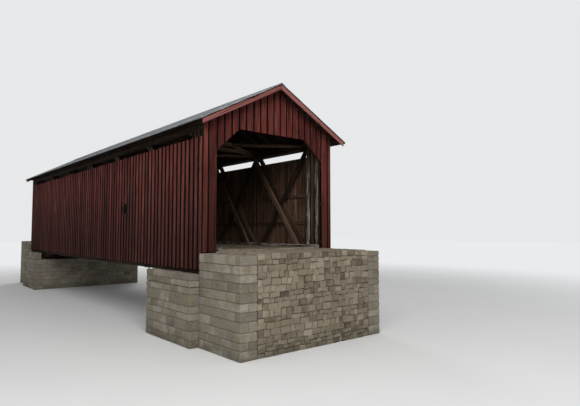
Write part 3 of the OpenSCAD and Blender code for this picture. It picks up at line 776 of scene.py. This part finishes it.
def side_wall(side, sign, seed):
    """The boards of one side, their nails and the strips behind their joints."""
    random = np.random.default_rng(seed)
    low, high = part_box(side + "_siding")
    pitch = (high.y - low.y) / round((high.y - low.y) / side_pitch)
    outer = high.x if sign > 0 else low.x
    inner = low.x if sign > 0 else high.x
    board_x = outer - sign * (board_t / 2 + play)
    strip_x = (inner + outer - sign * board_t) / 2
    strip_size = (abs(inner - outer) - board_t - play, strip_w, high.z - low.z - strip_short)
    boards = []
    strips = []
    heads = []
    for start in np.arange(low.y, high.y + pitch / 2, pitch):
        strips.append(((strip_x, start, (low.z + high.z) / 2 + strip_up), strip_size, (0.0, 0.0, 0.0)))
    for start in np.arange(low.y, high.y - pitch / 2, pitch):
        middle = start + pitch / 2
        width = pitch - side_gap + random.uniform(-0.008, 0.008)
        under = low.z + random.uniform(0.0, 0.03)
        top = high.z - random.uniform(0.0, 0.008)
        turn = (random.uniform(-0.0012, 0.0012), 0.0, random.uniform(-0.006, 0.006))
        lengths = [(under, top, middle, width)]
        for broken_y, hole_low, hole_high, whole in broken_boards:
            if sign < 0 and abs(middle - broken_y) < pitch / 2:
                narrow = width * whole
                place = middle + narrow / 2
                lengths = [
                    (under, hole_low, place, width - narrow - 2 * play),
                    (hole_high, top, place, width - narrow - 2 * play),
                ]
                if whole:
                    lengths.append((under, top, middle - (width - narrow) / 2, narrow - 2 * play))
        if sign < 0 and abs(middle - open_joint_y) < pitch / 2:
            lengths = [(under, top, middle + open_joint_w / 2, width - open_joint_w)]
        for bottom, upper, place, wide in lengths:
            size = (board_t - 2 * play, wide, upper - bottom)
            boards.append(((board_x, place, (bottom + upper) / 2), size, turn))
        for height in nail_heights:
            for off in (-1, 1):
                place = middle + off * (width / 2 - nail_in) + random.uniform(-0.008, 0.008)
                up = height + random.uniform(-0.02, 0.02)
                heads.append((outer - sign * (nail_t / 2 + 0.0001), place, up))
    wall = lay(
        side + "_boards", boards, faded_red, low, high, seed,
        cuts=(4, 4, 9), rounding=board_edge, uneven=(0.0006, 0.003, 0.0), wave=0.7,
    )
    behind = lay(side + "_strips", strips, joint_strip, low, high, seed)
    driven = nails(side + "_nails", heads, (sign, 0, 0), low, high, seed)
    join_in(wall, [behind, driven])
    mark_grain(wall.data, seed + 1)
    face_material(wall.data, bare_board, 2, (-1, 0, 0))
    # The edges of the boards that face the joints take the near-black strip colour, as painted shade inside
    # the joints
    face_material(wall.data, joint_strip, 2, (0, -1, 0), (0, 1, 0))
    seat(wall, "red_board", side + "_siding")


side_wall("left", -1, seed=71)
side_wall("right", 1, seed=73)

# Portal walls
# Painted boards of full length beside and over each doorway, cut to its bevelled
# corners and to the slope of the roof, over the same strips painted near black as
# the shade in the joints.
portal_pitch = 0.298
portal_gap = 0.050
portal_strip_w = 0.13
portal_nail_in = 0.04
portal_nail_heights = [roadway + up for up in (0.20, 1.70, 3.11, 4.22)]
top_nail_down = 0.12
nail_spacing = 0.18
jamb_w = 0.50
door_bevel = 0.89
door_top = roadway + 4.07
roof_rise = 1.725
jamb_low, jamb_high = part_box("near_jambs")
half_width = jamb_high.x
door_half = half_width - jamb_w
lintel_half = door_half - door_bevel
roof_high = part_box("right_roof")[1]
pitch_angle = math.atan2(roof_rise, roof_high.x)
boards_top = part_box("near_gable")[1].z
barn_red = wood(
    "barn_red_board", srgb(40, 30, 26), srgb(84, 69, 60),
    (srgb(53, 22, 20), srgb(97, 45, 40), srgb(101, 58, 48)), cover=0.37, darken_below=6.2,
)


def wall_bottom(x):
    """Lower edge of the portal boards at a distance from the middle of the road."""
    if x <= lintel_half:
        return door_top
    if x <= door_half:
        return door_top - (x - lintel_half) * (door_top - jamb_high.z) / (door_half - lintel_half)
    return jamb_low.z


def wall_top(x):
    """Upper edge of the portal boards, along the laths."""
    return boards_top - x * math.tan(pitch_angle)


def portal(name, sign, nodes, seed):
    """The boards, nails and joint strips of one portal; sign is -1 at the near end."""
    random = np.random.default_rng(seed)
    joints = [k * portal_pitch for k in range(8)] + [door_half - portal_gap / 2, 9 * portal_pitch]
    stops = joints[1:] + [half_width + portal_gap / 2 - play]
    front = abs(jamb_low.y)
    face = sign * (front - play)
    form = bmesh.new()
    strips = []
    heads = []
    for mirror in (-1, 1):
        for start, stop in zip(joints, stops):
            first = start + portal_gap / 2 + random.uniform(0.0, 0.004)
            last = stop - portal_gap / 2 - random.uniform(0.0, 0.004)
            places = [first] + [x for x in (lintel_half,) if first < x < last] + [last]
            drop = random.uniform(0.0, 0.02) if last > door_half else 0.0
            outline = [(x, wall_bottom(x) + drop) for x in places]
            outline += [(last, wall_top(last)), (first, wall_top(first))]
            depth = board_t - 2 * play + random.uniform(-0.001, 0.001)
            rings = [
                [form.verts.new((mirror * x, y, z)) for x, z in outline]
                for y in (face, face - sign * depth)
            ]
            form.faces.new(rings[0])
            form.faces.new(rings[1])
            for k in range(len(outline)):
                nxt = (k + 1) % len(outline)
                form.faces.new((rings[0][k], rings[0][nxt], rings[1][nxt], rings[1][k]))
            for x in (first + portal_nail_in, last - portal_nail_in):
                lowest = wall_bottom(x) + 0.02
                highest = wall_top(x) - nail_spacing
                heights = [z for z in portal_nail_heights if lowest < z < highest]
                for height in [*heights, wall_top(x) - top_nail_down]:
                    up = height + random.uniform(-0.02, 0.02)
                    heads.append((mirror * x, sign * (front - nail_t / 2 - 0.0001), up))
            if start or mirror > 0:
                under = max(wall_bottom(start + 0.05), wall_bottom(max(start - 0.05, 0.0))) + 0.01
                over = wall_top(start + 0.05) - 0.01
                depth = front - abs(jamb_high.y) - board_t - play
                place = (mirror * start, sign * (abs(jamb_high.y) + (depth + play) / 2), (under + over) / 2)
                strips.append((place, (portal_strip_w, depth, over - under), (0.0, 0.0, 0.0)))
    bmesh.ops.recalc_face_normals(form, faces=form.faces)
    wear_edges(form, list(form.edges), board_edge)
    wall = new_piece(name, finished_mesh(form, name, barn_red))
    low = (-half_width, -front, 0.0)
    high = (half_width, front, boards_top)
    behind = lay(name + "_strips", strips, joint_strip, low, high, seed)
    driven = nails(name + "_nails", heads, (0, sign, 0), low, high, seed)
    join_in(wall, [behind, driven])
    mark_grain(wall.data, seed + 1)
    face_material(wall.data, bare_board, 2, (0, -sign, 0))
    # The edges of the boards that face the joints take the near-black strip colour, as painted shade inside
    # the joints
    face_material(wall.data, joint_strip, 2, (-1, 0, 0), (1, 0, 0))
    seat(wall, "red_board", *nodes)


portal("near_portal_boards", -1, ["near_jambs", "near_gable"], seed=81)
portal("far_portal_boards", 1, ["far_jambs", "far_gable"], seed=83)

# Roof frame
# Sawn rafter pairs on the top chords with a ridge board between them, spaced
# laths nailed over them and a board along the rafter tails.
rafter_edge = 0.004
lath_edge = 0.002
eave_edge = 0.003
# The laths are coloured much darker than their wood, as painted shade under the shingles
lath_wood = wood("lath_wood", srgb(24, 19, 15), srgb(52, 42, 33))
hewn("roof_rafters", ["rafters"], dark_timber, "dark_timber", rafter_edge, seed=91)
hewn("ridge_timber", ["ridge_board"], dark_timber, "dark_timber", rafter_edge, seed=94)
hewn("roof_laths", ["roof_lath"], lath_wood, "lath", lath_edge, seed=92)
hewn("eave_board_timbers", ["eave_boards"], dark_timber, "dark_timber", eave_edge, seed=93)

# Shingles
# Split cedar shingles on the laths, two to three deep, each course lapping the
# one below. They are weathered to a cold grey, and no two are alike in width.
exposure = 0.14
shingle_l = 0.40
shingle_w = 0.165
shingle_t = 0.011
shingle_gap = 0.005
shingle_seat = 0.013
shingle_tilt = math.radians(2.2)
starter_l = 0.30
starter_seat = 0.025
slope_l = roof_high.x / math.cos(pitch_angle)
shingle_wood = wood("weathered_shingle", srgb(120, 122, 125), srgb(188, 191, 194))
# Shingle undersides: unweathered brown wood, darkened nearly to black as painted shade under the roof
shingle_back = wood("shingle_back", srgb(20, 15, 12), srgb(42, 33, 27))


def slope_point(distance, depth, sign, y):
    """A place on a slope, from its distance down from the ridge and its depth below the surface."""
    x = distance * math.cos(pitch_angle) - depth * math.sin(pitch_angle)
    z = roof_high.z - distance * math.sin(pitch_angle) - depth * math.cos(pitch_angle)
    return Vector((sign * x, y, z))


def slope_turn(slant, sign):
    """The turn that lays a board or shingle at a slant on one slope."""
    return (0.0, slant, 0.0 if sign > 0 else math.pi)


def shingles(side, sign, seed):
    """The courses of one slope, from the eaves up, over a starter course."""
    random = np.random.default_rng(seed)
    low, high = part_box(side + "_roof")
    across = round((high.y - low.y) / shingle_w)
    step = (high.y - low.y) / across
    rows = []
    courses = [
        (slope_l - k * exposure, shingle_l, shingle_tilt, shingle_seat)
        for k in range(int(slope_l / exposure))
    ]
    courses.append((slope_l - 0.004, starter_l, 0.0, starter_seat))
    for number, (butt, length, tilt, depth) in enumerate(courses):
        shift = 0.5 * step * (number % 2)
        joints = low.y + np.arange(across + 1) * step - shift
        joints += random.uniform(-0.36, 0.36, across + 1) * step
        joints[0], joints[-1] = low.y, high.y
        for start, stop in zip(joints, joints[1:]):
            end = butt - random.uniform(0.0, 0.012)
            long = min(length + random.uniform(-0.01, 0.01), end - 0.02)
            slant = pitch_angle - tilt - random.uniform(-0.003, 0.003)
            thick = shingle_t * random.uniform(0.85, 1.1)
            centre = slope_point(end, depth, sign, (start + stop) / 2)
            down = Vector((sign * math.cos(slant), 0.0, -math.sin(slant)))
            out = Vector((sign * math.sin(slant), 0.0, math.cos(slant)))
            centre += -down * long / 2 + out * thick / 2
            rows.append((centre, (long, stop - start - shingle_gap, thick), slope_turn(slant, sign)))
    slope = lay(
        side + "_shingles", rows, shingle_wood, low, high, seed,
        cuts=(2, 3, 2), uneven=(0.0, 0.0, 0.0012), wave=0.12, taper=0.6,
    )
    mark_grain(slope.data, seed + 1)
    # Faces looking down take the dark underside colour, which is partly bare wood and partly painted shade
    face_material(slope.data, shingle_back, 1, (0, 0, -1))
    seat(slope, "shingle", side + "_roof")


shingles("left", -1, seed=101)
shingles("right", 1, seed=103)

# Ridge and rakes
# Two boards along the ridge, in lengths, and painted boards under the edges
# of the shingles at both ends.
ridge_length = 2.4
cap_w = 0.166
cap_t = 0.018
cap_middle = 0.075
cap_lift = 0.010
rake_edge = 0.004
cap_low, cap_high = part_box("ridge_cap")
random = np.random.default_rng(111)
caps = []
for sign in (-1, 1):
    for start, stop in cut_up(cap_low.y, cap_high.y, ridge_length, random, 0.1):
        middle = slope_point(cap_middle, -cap_lift, sign, (start + stop) / 2)
        caps.append((middle, (cap_w, stop - start - 0.002, cap_t), slope_turn(pitch_angle, sign)))
ridge_boards = lay(
    "ridge_boards", caps, shingle_wood, cap_low, cap_high, seed=112,
    cuts=(4, 8, 4), rounding=0.003, uneven=(0.001, 0.0, 0.001), wave=0.6,
)
mark_grain(ridge_boards.data, seed=113)
seat(ridge_boards, "shingle", "ridge_cap")
rake_red = wood(
    "rake_red_board", srgb(50, 36, 31), srgb(96, 78, 68),
    (srgb(98, 54, 50), srgb(144, 92, 87), srgb(132, 90, 80)), cover=0.34,
)
hewn("rake_board_timbers", ["rake_boards"], rake_red, "red_trim", rake_edge, seed=114)

# Studio
# A plain pale floor and soft daylight all round, a little stronger from the
# front, so that the colours show as they are.
daylight = (0.49, 0.495, 0.51, 1.0)
backdrop = (0.80, 0.81, 0.82, 1.0)
floor_half = 150.0
fade_from = 15.0
fade_to = 38.0


def lamp(name, place, aim, size, power):
    """A large soft lamp."""
    light = bpy.data.lights.new(name, "AREA")
    light.shape = "DISK"
    light.size = size
    light.energy = power
    made = bpy.data.objects.new(name, light)
    made.location = place
    made.rotation_euler = (Vector(aim) - Vector(place)).to_track_quat("-Z", "Y").to_euler()
    bpy.context.scene.collection.objects.link(made)


lamp("front_lamp", (-12.0, -38.0, 20.0), (0.0, -6.0, 4.0), 16.0, 5900.0)
lamp("side_lamp", (-23.0, -27.0, 16.0), (0.0, -6.0, 4.0), 14.0, 2500.0)
lamp("back_lamp", (20.0, 34.0, 22.0), (0.0, 4.0, 4.0), 16.0, 3500.0)


def studio_floor_material():
    """A pale floor that passes into the pale background far from the bridge."""
    made, tree = new_material("studio_floor")
    place = add(tree, "ShaderNodeTexCoord").outputs["Object"]
    cloud = noise(tree, place, 0.4, 3.0)
    away = add(tree, "ShaderNodeVectorMath", {0: place}, operation="LENGTH").outputs["Value"]
    away = between(tree, away, fade_from, fade_to)
    colour = mix(tree, cloud, srgb(218, 218, 216), srgb(224, 224, 222))
    colour = mix(tree, away, colour, (0.0, 0.0, 0.0, 1.0))
    dress(tree, colour, calc(tree, "ADD", calc(tree, "MULTIPLY", cloud, 0.05), 0.9), cloud, 0.0)
    surface = tree.nodes["Principled BSDF"]
    surface.inputs["Emission Color"].default_value = backdrop
    tree.links.new(away, surface.inputs["Emission Strength"])
    return made


floor_mesh = bpy.data.meshes.new("studio_floor")
corners = [(x * floor_half, y * floor_half, 0.0) for x, y in ((-1, -1), (1, -1), (1, 1), (-1, 1))]
floor_mesh.from_pydata(corners, [], [(0, 1, 2, 3)])
floor_mesh.materials.append(studio_floor_material())
studio_floor = new_piece("studio_floor", floor_mesh)

world = bpy.data.worlds.new("daylight")
bpy.context.scene.world = world
world.use_nodes = True
around = world.node_tree
ray = add(around, "ShaderNodeLightPath").outputs
seen = calc(around, "ADD", ray["Is Camera Ray"], ray["Is Glossy Ray"])
seen = calc(around, "ADD", seen, ray["Is Transmission Ray"])
back = around.nodes["Background"]
around.links.new(mix(around, seen, daylight, backdrop), back.inputs["Color"])
back.inputs["Strength"].default_value = 1.0

bpy.context.scene.view_settings.view_transform = "Standard"
bpy.context.view_layer.update()
